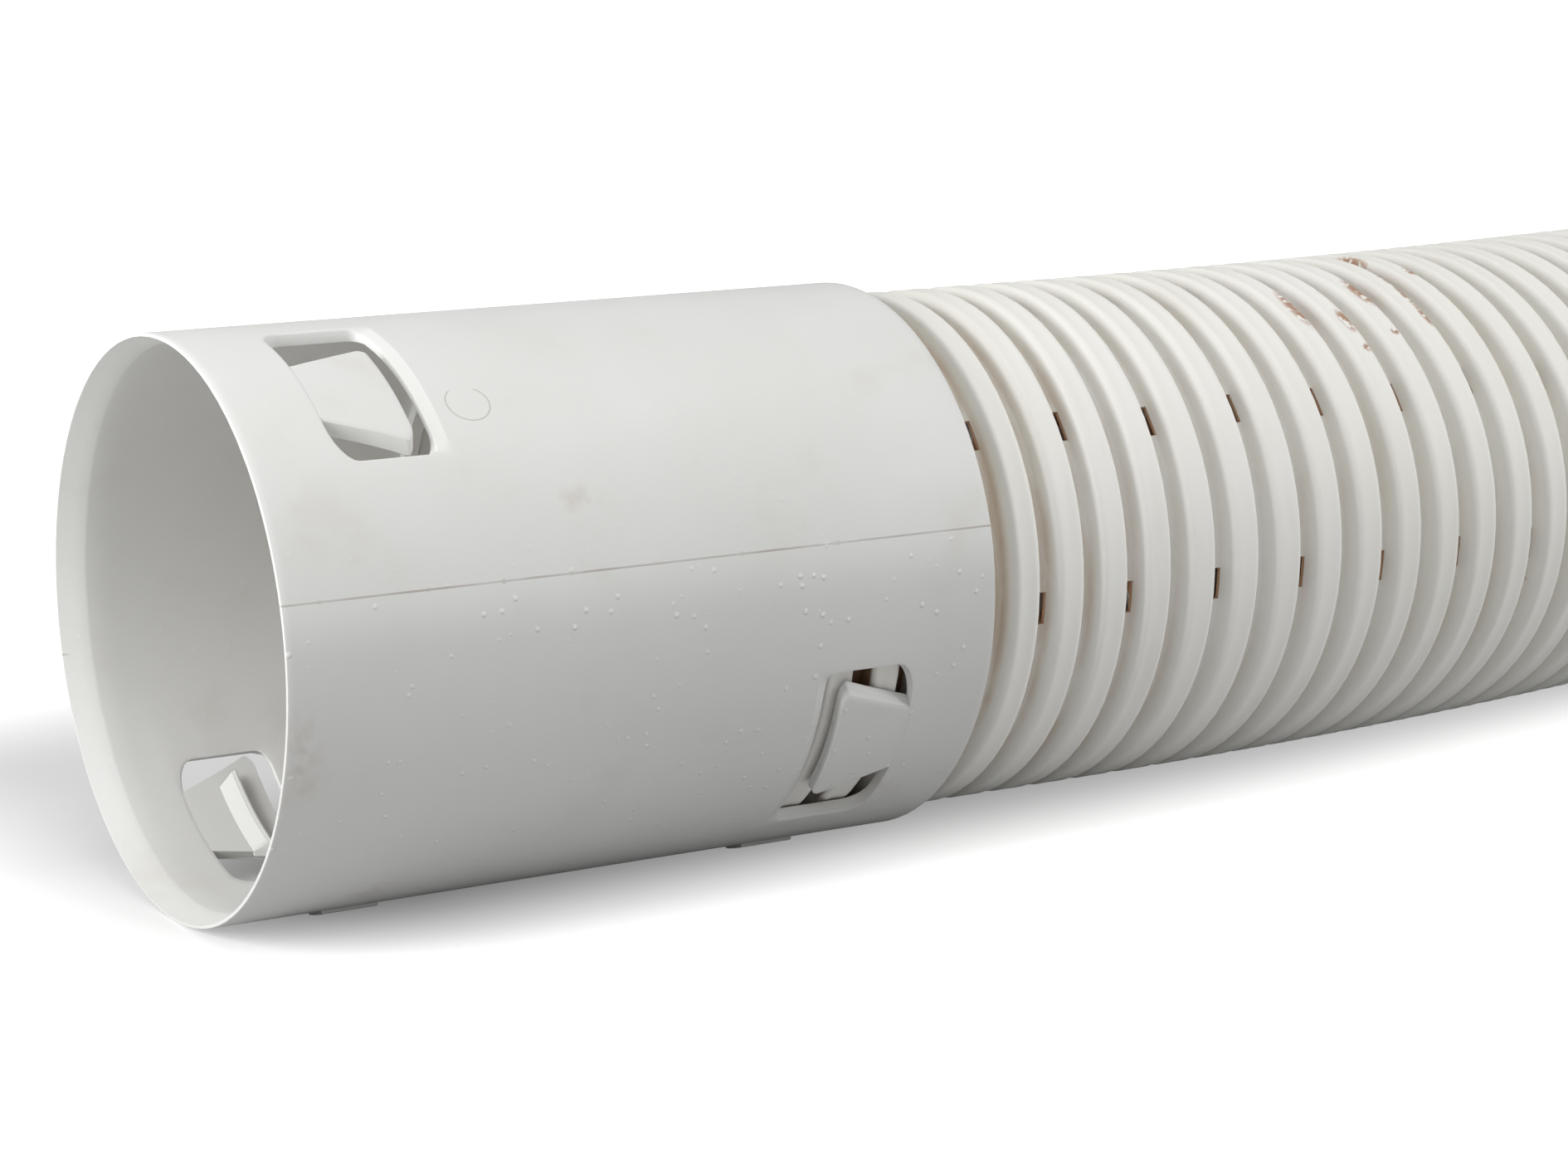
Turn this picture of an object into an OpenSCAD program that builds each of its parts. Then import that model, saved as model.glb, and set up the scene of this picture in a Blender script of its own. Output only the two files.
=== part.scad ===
// Corrugated drainage pipe with drain slots, its end pushed into a snap coupling sleeve.
// Millimetres. The origin is on the sleeve's axis, where the lead-in of its open mouth ends, and +Z is up.
// The long straight run of the pipe lies along +X. The sleeve and the first ribs point
// a few degrees off it, because the pipe keeps a bend from its coil.

// Which piece to show

/* [Pipe] */
// Outside diameter over the ribs
pipe_od = 100; // [95:0.5:105]
// Distance from one rib to the next
rib_pitch = 10; // [9.5:0.1:11]
// Number of ribs along the pipe, which sets its length
rib_count = 100; // [60:1:120]
// Height of a rib above the floor of the groove beside it
rib_height = 3.4; // [2.6:0.1:3.8]
// Length of the flat crest on a rib
crest_length = 3.6; // [3:0.1:4.2]
// Length of the groove's flat floor
groove_floor = 1.8; // [1.6:0.1:2.2]
// Thickness of the pipe's wall
pipe_wall = 0.9; // [0.7:0.05:1.2]

/* [Bend] */
// Radius of the bend that the pipe keeps
bend_radius = 870; // [840:10:2000]
// Ribs before the first rib at which the pipe turns
ribs_before_bend = 12; // [10:1:16]
// Ribs from one turn to the next
ribs_per_knee = 4; // [3:1:4]
// Number of ribs at which the pipe turns
knee_count = 4; // [1:1:6]

/* [Drain slots] */
// Length of a slot around the pipe
slot_length = 6.2; // [4:0.1:8]
// Width of a slot along the pipe
slot_width = 1.2; // [0.8:0.1:1.4]
// Slots in one groove
slots_per_groove = 3; // [1:1:4]
// Angle between one row of slots and the next
slot_row_angle = 41.6; // [36:0.1:42]
// Height angle of the lowest row, from level on the near side
lowest_row_angle = -5.6; // [-20:0.1:10]

/* [Sleeve] */
// Length of the coupling sleeve
sleeve_length = 140.6; // [139:0.1:150]
// Thickness of the sleeve's wall
sleeve_wall = 2.2; // [1.8:0.1:2.6]
// Radial play between the sleeve's bore and the ribs
sleeve_play = 0.3; // [0.2:0.05:0.5]
// Axial length of the lead-in at each mouth
lead_in_length = 5.2; // [3:0.1:7]
// How much the bore's radius narrows from the latch windows to the stop ring
bore_draft = 0.15; // [0.05:0.05:0.25]
// Thickness of the sleeve's edge at each mouth
lip_thickness = 0.6; // [0.4:0.1:1]
// Length of the stop ring at the sleeve's middle
stop_length = 3; // [2:0.1:4]
// Height of the stop ring inside the bore
stop_height = 1.5; // [1:0.1:2.5]
// Gap between the stop ring and the end of the pipe
stop_gap = 3; // [2.8:0.1:3.6]
// Height angle of the mould's parting line, from level on the near side
parting_angle = 15; // [0:1:30]

/* [Latch windows] */
// Distance from a mouth to the near edge of a window
window_start = 16.1; // [14:0.1:18]
// Length of a window along the sleeve
window_length = 21.1; // [20.8:0.1:23]
// Angle around the sleeve from its parting line to a window's near edge
window_near_angle = 26.2; // [24:0.1:28]
// Angle around the sleeve from its parting line to a window's upper edge
window_upper_angle = 67.5; // [65:0.1:69]
// Corner radius of a window
window_corner = 2.4; // [1:0.1:3]
// Length of the bevel on a window's far edge
bevel_length = 2.4; // [1:0.1:3]
// Depth of the bevel on a window's far edge
bevel_depth = 0.7; // [0.3:0.1:1.2]

/* [Latch tongues] */
// Length of a tongue from its root
tongue_length = 15.7; // [14:0.1:16.5]
// Width of a tongue at its root
tongue_root_width = 10.2; // [8:0.1:12]
// Width of a tongue at its free end
tongue_tip_width = 16.4; // [14:0.1:18]
// Gap between a tongue's free end and its window's outer edge
tongue_gap = 1.8; // [1:0.1:2.5]
// How far a tongue at the open mouth dips inward at its free end
tongue_dip = 0.1; // [0.1:0.1:1]
// How far the pipe's rib lifts the free end of a tongue outward
tongue_lift = 0.7; // [0.2:0.1:1.2]
// Corner radius at a tongue's free end
tongue_corner = 1.6; // [0.5:0.1:2.5]
// Height of the hook under a tongue
hook_height = 1.6; // [1:0.1:1.8]
// Groove of the pipe, counted from its end, that a hook drops into
hook_groove = 4; // [4:1:4]
// Distance from that groove's middle to the hook's catching face
hook_catch = 1.4; // [1.2:0.1:1.4]
// Length of the ramp that leads up to the hook
hook_ramp = 3; // [2:0.1:3.2]
// Length of the hook's flat top
hook_flat = 0.8; // [0.6:0.1:1]
// How far the hook stays clear of the tongue's outer edge
hook_side_gap = 3.8; // [1:0.1:6]

/* [Mould pads] */
// Length of the raised pads under the sleeve
pad_length = 11; // [8:0.1:16]
// Width of the raised pads
pad_width = 6; // [3:0.5:12]
// Height of the raised pads
pad_height = 0.6; // [0.3:0.05:1]
// Distance from the open mouth to the middle of the first pad
pad_near_x = 26.9; // [22:0.1:30]
// Distance from the open mouth to the middle of the second pad
pad_far_x = 113.3; // [108:0.1:116]

/* [Hidden] */
$fn = 96;
over = 1;

// Pipe
crest_r = pipe_od / 2;
floor_r = crest_r - rib_height;
inside_r = floor_r - pipe_wall;
side_wall = pipe_wall * 0.7;
flank = (rib_pitch - crest_length - groove_floor) / 2;
fillet = flank / 3;
shoulder_drop = rib_height / 5;
foot_rise = rib_height / 6;
pipe_start = (sleeve_length + stop_length) / 2 + stop_gap;

// Half of one rib's outline, as [distance from the rib's middle, height above the floor]
half_rib = [
    [crest_length / 2, rib_height],
    [crest_length / 2 + fillet, rib_height - shoulder_drop / 2],
    [crest_length / 2 + fillet * 2, rib_height - shoulder_drop * 2],
    [crest_length / 2 + flank - fillet / 2, foot_rise],
    [crest_length / 2 + flank, 0]
];

// Bend: the pipe turns a little at every knee rib, whose feet stand in the straight walls on both sides
knee_step = rib_pitch * ribs_per_knee;
knee_angle = knee_step / bend_radius * 180 / PI;
bend_angle = knee_angle * knee_count;
first_knee = pipe_start + (ribs_before_bend + 0.5) * rib_pitch;
ribs_after_bend = rib_count - ribs_before_bend - ribs_per_knee * (knee_count - 1) - 1;
knee_foot = crest_length / 2 + flank - fillet / 2;
knee_foot_r = floor_r - pipe_wall / 2;
knee_side_r = floor_r + foot_rise / 2;
wall_end = (knee_foot - side_wall) / 2;

// Sleeve
bore_r = crest_r + sleeve_play;
sleeve_r = bore_r + sleeve_wall;
lip_r = sleeve_r - lip_thickness;
edge_round = lip_thickness / 2;
window_inner_y = sleeve_r * cos(window_upper_angle);
window_outer_y = sleeve_r * cos(window_near_angle);
stop_bore_r = bore_r - bore_draft;

// Tongue
hook_x = sleeve_length - pipe_start - rib_pitch * hook_groove + hook_catch - hook_flat;
tongue_end = window_start + tongue_length;
tongue_y = window_outer_y - tongue_gap - tongue_tip_width / 2;
hook_outer_y = tongue_y + tongue_tip_width / 2 - hook_side_gap;
hook_root_r = bore_r + sleeve_wall / 2;
hook_root_x = hook_x - hook_ramp * (1 + sleeve_wall / 2 / hook_height);

// The middle line of the sleeve and the pipe, from the sleeve's open mouth: its direction after j knees,
// and the place of knee j, counted from 1
function heading(j) = knee_angle * j - bend_angle;
function ahead(angle, distance) = [cos(angle), sin(angle), 0] * distance;
function knee(j) = j == 1 ? ahead(heading(0), first_knee) : knee(j - 1) + ahead(heading(j - 1), knee_step);

// The outline of a rib, from its left foot to its right foot: outside it, or inside it with thinner sides
function rib_outline(middle, radius, thinner) = let (last = len(half_rib) - 1) concat(
    [for (i = [last:-1:0]) [radius + half_rib[i][1], middle - half_rib[i][0] + thinner]],
    [for (i = [0:last]) [radius + half_rib[i][1], middle + half_rib[i][0] - thinner]]
);
function backwards(list) = [for (i = [len(list) - 1:-1:0]) list[i]];

// Moves its children, drawn from the centre of the open mouth, to the model's origin
module from_mouth() {
    translate(-ahead(heading(0), lead_in_length)) children();
}

// A straight stretch of ribbed tube along +X
module ribbed_tube(from, to, first_rib, ribs) {
    middles = [for (k = [0:ribs - 1]) first_rib + k * rib_pitch];
    rotate([90, 0, 90]) rotate_extrude() polygon(concat(
        [[inside_r, from], [floor_r, from]],
        [for (middle = middles) each rib_outline(middle, floor_r, 0)],
        [[floor_r, to], [inside_r, to]],
        [for (middle = backwards(middles)) each backwards(rib_outline(middle, inside_r, side_wall))]
    ));
}

// The rib at a knee: a ring of its own that stands on the ends of two straight stretches and joins them
module knee_rib() {
    last = len(half_rib) - 2;
    outside = [for (i = [0:last]) [floor_r + half_rib[i][1], half_rib[i][0]]];
    inside = [for (i = [0:last - 1]) [inside_r + half_rib[i][1], half_rib[i][0] - side_wall]];
    half = concat(
        outside, [[knee_foot_r, knee_foot], [knee_foot_r, knee_foot - side_wall], [knee_side_r, knee_foot - side_wall]],
        backwards(inside)
    );
    rotate([90, 0, 90]) rotate_extrude() polygon(concat(half, [for (p = backwards(half)) [p.x, -p.y]]));
}

// Turns its child, made on the near side, to a height angle around the middle line
module around(angle) {
    rotate([-angle, 0, 0]) children();
}

// The slots in groove k, in every other row: odd grooves use the rows between those of even grooves
module groove_slots(k) {
    for (i = [0:slots_per_groove - 1])
        around(lowest_row_angle + slot_row_angle * (2 * i + k % 2))
            translate([0, pipe_wall / 2 - floor_r, 0])
                cube([slot_width, pipe_wall * 4, slot_length], center = true);
}

// A straight stretch with its drain slots, where its first slotted groove is groove k of the whole pipe
module slotted_tube(from, to, first_rib, ribs, first_groove, grooves, k) {
    difference() {
        ribbed_tube(from, to, first_rib, ribs);
        for (i = [0:grooves - 1]) translate([first_groove + i * rib_pitch, 0, 0]) groove_slots(k + i);
    }
}

module drain_pipe() {
    half = rib_pitch / 2;
    color("gainsboro") from_mouth() {
        rotate([0, 0, heading(0)]) translate([pipe_start, 0, 0])
            slotted_tube(0, first_knee - pipe_start - wall_end, half, ribs_before_bend, rib_pitch, ribs_before_bend, 1);
        for (j = [1:knee_count]) {
            groove = ribs_before_bend + ribs_per_knee * (j - 1) + 1;
            translate(knee(j)) rotate([0, 0, heading(j - 0.5)]) knee_rib();
            translate(knee(j)) rotate([0, 0, heading(j)])
                if (j < knee_count)
                    slotted_tube(
                        wall_end, knee_step - wall_end, rib_pitch, ribs_per_knee - 1, half, ribs_per_knee, groove);
                else
                    slotted_tube(
                        wall_end, ribs_after_bend * rib_pitch + half, rib_pitch, ribs_after_bend, half,
                        ribs_after_bend, groove);
        }
    }
}

// The sleeve's wall as one turned shape: thin lips, lead-ins, the bore with its draft, and the stop ring
module sleeve_wall_ring() {
    middle = sleeve_length / 2;
    rotate([90, 0, 90]) rotate_extrude() polygon([
        [lip_r, 0], [sleeve_r - edge_round, 0], [sleeve_r, edge_round],
        [sleeve_r, sleeve_length - edge_round], [sleeve_r - edge_round, sleeve_length], [lip_r, sleeve_length],
        [bore_r, sleeve_length - lead_in_length], [bore_r, sleeve_length - window_start],
        [stop_bore_r, middle + stop_length / 2], [stop_bore_r - stop_height, middle + stop_length / 2],
        [stop_bore_r - stop_height, middle - stop_length / 2], [stop_bore_r, middle - stop_length / 2],
        [bore_r, window_start], [bore_r, lead_in_length]
    ]);
}

// A rectangle with round corners, from one corner to the other
module round_plate(low, high, corner) {
    size = high - low;
    translate(low + size / 2) union() {
        square([size.x - corner * 2, size.y], center = true);
        square([size.x, size.y - corner * 2], center = true);
        for (i = [-1, 1], j = [-1, 1])
            translate([i * (size.x / 2 - corner), j * (size.y / 2 - corner)]) circle(r = corner);
    }
}

// The hole in the wall for one latch, cut the way the mould opens
module latch_window() {
    linear_extrude(height = sleeve_r * 2) round_plate(
        [window_start, -window_outer_y], [window_start + window_length - bevel_length, -window_inner_y], window_corner);
    far_edge = window_start + window_length;
    intersection() {
        translate([far_edge - bevel_length - window_corner * 2, -window_outer_y, 0])
            cube([bevel_length + window_corner * 2, window_outer_y - window_inner_y, sleeve_r * 2]);
        rotate([90, 0, 90]) rotate_extrude() polygon([
            [sleeve_r - bevel_depth, far_edge - bevel_length], [sleeve_r, far_edge], [sleeve_r + over, far_edge],
            [sleeve_r + over, far_edge - bevel_length - window_corner * 2],
            [sleeve_r - bevel_depth, far_edge - bevel_length - window_corner * 2]
        ]);
    }
}

// A tongue's plan, seen along the way the mould opens: it widens to its round-cornered free end
module tongue_plan() {
    root = window_start - over;
    side = tongue_tip_width / 2;
    linear_extrude(height = sleeve_r * 2) translate([0, -tongue_y]) union() {
        polygon([
            [root, -tongue_root_width / 2], [tongue_end - tongue_corner, -side],
            [tongue_end - tongue_corner, side], [root, tongue_root_width / 2]
        ]);
        for (i = [-1, 1]) translate([tongue_end - tongue_corner, i * (side - tongue_corner)]) circle(r = tongue_corner);
        translate([tongue_end - tongue_corner * 2, tongue_corner - side])
            square([tongue_corner * 2, tongue_tip_width - tongue_corner * 2]);
    }
}

// One latch tongue: a springy flap whose free end is a little in or out of the wall, with a hook beneath
module latch_tongue(rise) {
    root = window_start - over;
    intersection() {
        rotate([90, 0, 90]) rotate_extrude() polygon([
            [bore_r, root], [sleeve_r, root], [sleeve_r, window_start], [sleeve_r + rise, tongue_end],
            [bore_r + rise, tongue_end], [bore_r, window_start]
        ]);
        tongue_plan();
    }
    intersection() {
        rotate([90, 0, 90]) rotate_extrude() polygon([
            [hook_root_r, hook_x + hook_flat], [bore_r - hook_height, hook_x + hook_flat],
            [bore_r - hook_height, hook_x], [hook_root_r, hook_root_x]
        ]);
        tongue_plan();
        translate([0, -hook_outer_y, 0]) cube([sleeve_length, tongue_tip_width, sleeve_r * 2]);
    }
}

// Puts a latch, drawn on the open end's upper near side, in its two places at each end: 0 is open, 1 holds the pipe
module at_latches(ends) {
    for (turn = [0, 180], end = ends)
        rotate([turn, 0, 0]) translate([sleeve_length * end, 0, 0]) rotate([0, 180 * end, 0]) children();
}

// A raised pad at the middle of the mould's lower half
module mould_pad(x) {
    intersection() {
        translate([x - pad_length / 2, 0, 0]) rotate([0, 90, 0]) difference() {
            cylinder(r = sleeve_r + pad_height, h = pad_length);
            translate([0, 0, -over]) cylinder(r = sleeve_r - edge_round, h = pad_length + over * 2);
        }
        translate([x - pad_length, -pad_width / 2, -sleeve_r * 2]) cube([pad_length * 2, pad_width, sleeve_r * 2]);
    }
}

module coupling_sleeve() {
    color("lightgray") from_mouth() rotate([0, 0, heading(0)]) around(parting_angle) {
        difference() {
            sleeve_wall_ring();
            at_latches([0, 1]) latch_window();
        }
        at_latches([0]) latch_tongue(-tongue_dip);
        at_latches([1]) latch_tongue(tongue_lift);
        mould_pad(pad_near_x);
        mould_pad(pad_far_x);
    }
}

drain_pipe();
coupling_sleeve();
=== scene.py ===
import math
import random

import bmesh
import bpy
from mathutils import Matrix, Vector


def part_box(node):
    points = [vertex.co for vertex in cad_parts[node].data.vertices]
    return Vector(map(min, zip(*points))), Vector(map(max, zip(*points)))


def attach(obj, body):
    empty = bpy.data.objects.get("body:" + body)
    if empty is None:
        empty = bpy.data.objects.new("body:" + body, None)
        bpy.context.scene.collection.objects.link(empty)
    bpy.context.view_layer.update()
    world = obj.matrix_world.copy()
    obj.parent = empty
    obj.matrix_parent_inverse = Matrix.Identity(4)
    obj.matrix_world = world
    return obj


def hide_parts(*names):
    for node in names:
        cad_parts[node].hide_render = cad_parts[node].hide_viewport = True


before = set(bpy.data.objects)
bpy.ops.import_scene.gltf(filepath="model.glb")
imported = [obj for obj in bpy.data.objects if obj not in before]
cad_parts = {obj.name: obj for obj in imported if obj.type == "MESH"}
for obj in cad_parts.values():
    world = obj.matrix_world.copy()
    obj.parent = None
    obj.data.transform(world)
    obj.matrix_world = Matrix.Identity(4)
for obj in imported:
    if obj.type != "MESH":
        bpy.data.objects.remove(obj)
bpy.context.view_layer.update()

MM = 0.001
PHOTO_WIDTH = 1890

# Sizes in millimetres. They are the ones of the part's source, apart from SLOT_FAR_WIDTH, HOLE_END,
# WINDOW_HINGE_CORNER and WINDOW_EDGE_LEAN, which follow the photo's slots and windows more closely.
PIPE_R = 50.0
FLOOR_R = 46.6
INSIDE_R = 45.7
RIB_PITCH = 10.0
RIB_COUNT = 100
PIPE_START = 74.8
BEND_RADIUS = 870.0
BEND_START = 179.8
BEND_LENGTH = 160.0
SLOT_LENGTH = 6.2
SLOT_HALF_WIDTH = 0.6
SLOT_FAR_WIDTH = 1.25
LOWEST_ROW_ANGLE = -5.6
SLOT_ROW_ANGLE = 41.6
SLOTS_PER_GROOVE = 3

SLEEVE_R = 52.5
BORE_R = 50.3
SLEEVE_LENGTH = 140.6
LEAD_IN = 5.2
LIP_R = 51.9
STOP_R = 48.65
STOP_BORE_R = 50.15
STOP_HALF = 1.5
PARTING_ANGLE = 15.0
WINDOW_START = 16.1
HOLE_END = 35.2
BEVEL_END = 37.2
BEVEL_DEPTH = 0.7
BEVEL_FIELD_START = 31.0
WINDOW_INNER_Y = 20.1
WINDOW_OUTER_Y = 47.1
WINDOW_CORNER = 2.4
WINDOW_HINGE_CORNER = 4.0
WINDOW_EDGE_LEAN = 2.0
TONGUE_END = 31.8
TONGUE_Y = 37.1
TONGUE_ROOT_HALF = 5.1
TONGUE_TIP_HALF = 8.2
TONGUE_CORNER = 1.6
TONGUE_DIP = 0.1
TONGUE_LIFT = 0.7
HOOK_X = 26.4
HOOK_RAMP = 3.0
HOOK_FLAT = 0.8
HOOK_HEIGHT = 1.6
HOOK_OUTER_Y = 41.5
PAD_HEIGHT = 0.6
PAD_LENGTH = 11.0
PAD_WIDTH = 6.0
PAD_CENTRES = (26.9, 113.3)

BEND_ANGLE = BEND_LENGTH / BEND_RADIUS
FIRST_HEADING = -BEND_ANGLE
MOUTH = -LEAD_IN * Vector((math.cos(FIRST_HEADING), math.sin(FIRST_HEADING), 0))
SLEEVE_MATRIX = (
    Matrix.Translation(MOUTH)
    @ Matrix.Rotation(FIRST_HEADING, 4, "Z")
    @ Matrix.Rotation(-math.radians(PARTING_ANGLE), 4, "X")
)


# Mesh building

class MeshMaker:
    """Collects points in millimetres and faces, and makes one smooth-shaded object of them."""

    def __init__(self, placed=None):
        self.points = []
        self.faces = []
        self.marks = []
        self.placed = placed

    def add(self, point, mark=None):
        place = self.placed @ Vector(point) if self.placed else point
        self.points.append(tuple(place))
        self.marks.append(tuple(mark or point))
        return len(self.points) - 1

    def strip(self, first, second, closed=False):
        """Quads between two lists of point numbers of the same length."""
        count = len(first)
        for i in range(count if closed else count - 1):
            j = (i + 1) % count
            self.faces.append((first[i], first[j], second[j], second[i]))

    def zipper(self, first, second):
        """Triangles and quads between two closed rings that may differ in their number of points."""
        a, b, i, j = len(first), len(second), 0, 0
        while i < a or j < b:
            step_a = (i + 1) / a
            step_b = (j + 1) / b
            here = (first[i % a], second[j % b])
            if abs(step_a - step_b) < 1e-9:
                self.faces.append((here[0], first[(i + 1) % a], second[(j + 1) % b], here[1]))
                i, j = i + 1, j + 1
            elif step_a < step_b:
                self.faces.append((here[0], first[(i + 1) % a], here[1]))
                i += 1
            else:
                self.faces.append((here[0], second[(j + 1) % b], here[1]))
                j += 1

    def build(self, name, material, sharp_angle=35, weld=None, crisp=None):
        """Edges steeper than sharp_angle are sharp, and those with both ends where crisp says so."""
        mesh = bpy.data.meshes.new(name)
        mesh.from_pydata([[c * MM for c in p] for p in self.points], [], self.faces)
        attribute = mesh.attributes.new("straight", "FLOAT_VECTOR", "POINT")
        attribute.data.foreach_set("vector", [c * MM for mark in self.marks for c in mark])
        obj = bpy.data.objects.new(name, mesh)
        bpy.context.scene.collection.objects.link(obj)
        bm = bmesh.new()
        bm.from_mesh(mesh)
        if weld:
            bmesh.ops.remove_doubles(bm, verts=bm.verts, dist=weld * MM)
        bmesh.ops.recalc_face_normals(bm, faces=bm.faces)
        for face in bm.faces:
            face.smooth = True
        limit = math.radians(sharp_angle)
        for edge in bm.edges:
            if len(edge.link_faces) == 2:
                edge.smooth = edge.calc_face_angle() < limit
        if crisp:
            place = bm.verts.layers.float_vector["straight"]
            for edge in bm.edges:
                if all(crisp(vert[place] / MM) for vert in edge.verts):
                    edge.smooth = False
        bm.to_mesh(mesh)
        bm.free()
        mesh.materials.append(material)
        return obj


def mix(a, b, t):
    return a + (b - a) * t


def spread(start, end, count):
    return [mix(start, end, i / count) for i in range(count + 1)]


# Sleeve: local frame with X along its axis from the mouth, -Y at the parting line, Z as the mould opens

ARC_STEPS = 3
X_STEPS = 12
Y_STEPS = 14
PATCH_X = (13.6, 39.7)
PATCH_Y = (48.5, 17.6)
EDGE_ROUND = 0.35
RIM_ROUND = ((0.0, 0.3), (0.09, 0.09))
INNER_EDGE_ROUND = 0.25


def patch_nodes(low, high, edge_low, edge_high, corner, steps):
    """Places along one side of a window's patch: close together at its corners."""
    inner_low = edge_low + math.copysign(corner, edge_high - edge_low)
    inner_high = edge_high - math.copysign(corner, edge_high - edge_low)
    straight = spread(inner_low, inner_high, steps - 2 * ARC_STEPS)
    return spread(low, inner_low, ARC_STEPS)[:-1] + straight + spread(inner_high, high, ARC_STEPS)[1:]


X_NODES = patch_nodes(*PATCH_X, WINDOW_START, HOLE_END, WINDOW_CORNER, X_STEPS)
Y_NODES = patch_nodes(*PATCH_Y, WINDOW_OUTER_Y, WINDOW_INNER_Y, WINDOW_CORNER, Y_STEPS)


def clamp(value):
    return min(1.0, max(0.0, value))


def smooth(value):
    value = clamp(value)
    return value * value * (3 - 2 * value)


def bevel_depth(x, y):
    """How deep the bevel lies on the side of a window that is nearest the sleeve's middle."""
    if x < BEVEL_FIELD_START:
        return 0.0
    across = smooth((WINDOW_OUTER_Y - y) / 1.0) * smooth((y - WINDOW_INNER_Y) / 1.0)
    return BEVEL_DEPTH * clamp((BEVEL_END - x) / (BEVEL_END - HOLE_END)) * across


def outer_z(x, y):
    return math.sqrt((SLEEVE_R - bevel_depth(x, y)) ** 2 - y * y)


def inner_z(y):
    return math.sqrt(BORE_R ** 2 - y * y)


def patch_rim():
    """The patch's rectangle, once round, as (x, y)."""
    rim = [(x, Y_NODES[0]) for x in X_NODES[:-1]]
    rim += [(X_NODES[-1], y) for y in Y_NODES[:-1]]
    rim += [(x, Y_NODES[-1]) for x in reversed(X_NODES[1:])]
    rim += [(X_NODES[0], y) for y in reversed(Y_NODES[1:])]
    return rim


def window_outline(offset):
    """The window's outline, grown by offset, with a point for every point of the patch's rim."""
    hinge, far = WINDOW_HINGE_CORNER, WINDOW_CORNER
    corners = [
        (WINDOW_START + hinge, WINDOW_OUTER_Y - hinge, hinge + offset, 135),
        (HOLE_END - far, WINDOW_OUTER_Y - far, far + offset, 45),
        (HOLE_END - far, WINDOW_INNER_Y + far, far + offset, -45),
        (WINDOW_START + hinge, WINDOW_INNER_Y + hinge, hinge + offset, -135),
    ]
    outline = []
    for i, (x, y, radius, angle) in enumerate(corners):
        next_x, next_y, next_radius, _ = corners[(i + 1) % 4]
        steps = X_STEPS if i % 2 == 0 else Y_STEPS
        for k in range(ARC_STEPS):
            turn = math.radians(angle - 45 * k / ARC_STEPS)
            outline.append((x + radius * math.cos(turn), y + radius * math.sin(turn)))
        turn = math.radians(angle - 45)
        start = (x + radius * math.cos(turn), y + radius * math.sin(turn))
        end = (next_x + next_radius * math.cos(turn), next_y + next_radius * math.sin(turn))
        for k in range(steps - 2 * ARC_STEPS + 1):
            t = k / (steps - 2 * ARC_STEPS)
            outline.append((mix(start[0], end[0], t), mix(start[1], end[1], t)))
        for k in range(1, ARC_STEPS):
            turn = math.radians(angle - 45 - 45 * k / ARC_STEPS)
            outline.append((next_x + next_radius * math.cos(turn), next_y + next_radius * math.sin(turn)))
    return outline


def leaned(outline):
    """The outline on the sleeve's inside: the wall of the window's outer edge leans towards the axis."""
    start = (WINDOW_OUTER_Y + WINDOW_INNER_Y) / 2
    end = WINDOW_OUTER_Y - WINDOW_HINGE_CORNER
    return [(x, y - WINDOW_EDGE_LEAN * clamp((y - start) / (end - start))) for x, y in outline]


def window_loops():
    """Closed loops from the patch's rim outside, over the window's edge and wall, to the rim inside."""
    rim = patch_rim()
    near = window_outline(EDGE_ROUND)
    loops = []
    for t in (1.0, 0.72, 0.45, 0.2):
        flat = [(mix(a[0], b[0], t), mix(a[1], b[1], t)) for a, b in zip(near, rim)]
        if t == 0.45:
            flat = [(BEVEL_END if x > BEVEL_END - 0.6 else x, y) for x, y in flat]
        loops.append([(x, y, outer_z(x, y)) for x, y in flat])
    for k in range(5):
        turn = math.radians(90 * k / 4)
        drop = EDGE_ROUND * (1 - math.cos(turn))
        flat = window_outline(EDGE_ROUND * (1 - math.sin(turn)))
        loops.append([(x, y, outer_z(x, y) - drop) for x, y in flat])
    for k in range(3):
        turn = math.radians(45 * k)
        rise = INNER_EDGE_ROUND * (1 - math.sin(turn))
        flat = leaned(window_outline(INNER_EDGE_ROUND * (1 - math.cos(turn))))
        loops.append([(x, y, inner_z(y) + rise) for x, y in flat])
    near = leaned(window_outline(INNER_EDGE_ROUND))
    for t in (0.36, 1.0):
        flat = [(mix(a[0], b[0], t), mix(a[1], b[1], t)) for a, b in zip(near, rim)]
        loops.append([(x, y, inner_z(y)) for x, y in flat])
    return loops


def latch_turns():
    """The four places of a latch, drawn on the open end's upper near side, as functions on a point."""
    return [
        lambda p: (p[0], -p[1], p[2]),
        lambda p: (p[0], p[1], -p[2]),
        lambda p: (SLEEVE_LENGTH - p[0], -p[1], -p[2]),
        lambda p: (SLEEVE_LENGTH - p[0], p[1], p[2]),
    ]


def angle_lines():
    """Lines along the sleeve as pairs of angles, outside and inside, once round."""
    edge_out = math.degrees(math.acos(PATCH_Y[0] / SLEEVE_R))
    edge_in = math.degrees(math.acos(PATCH_Y[0] / BORE_R))
    quarter = [(edge_out * i / 6, edge_in * i / 6) for i in range(6)]
    for y in Y_NODES:
        quarter.append((math.degrees(math.acos(y / SLEEVE_R)), math.degrees(math.acos(y / BORE_R))))
    last = quarter[-1]
    quarter += [(mix(last[0], 90, i / 5), mix(last[1], 90, i / 5)) for i in range(1, 5)]
    top = [(90, 90)] + [(180 - a, 180 - b) for a, b in reversed(quarter[1:])]
    half = quarter + top
    return half + [(a + 180, b + 180) for a, b in half]


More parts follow.
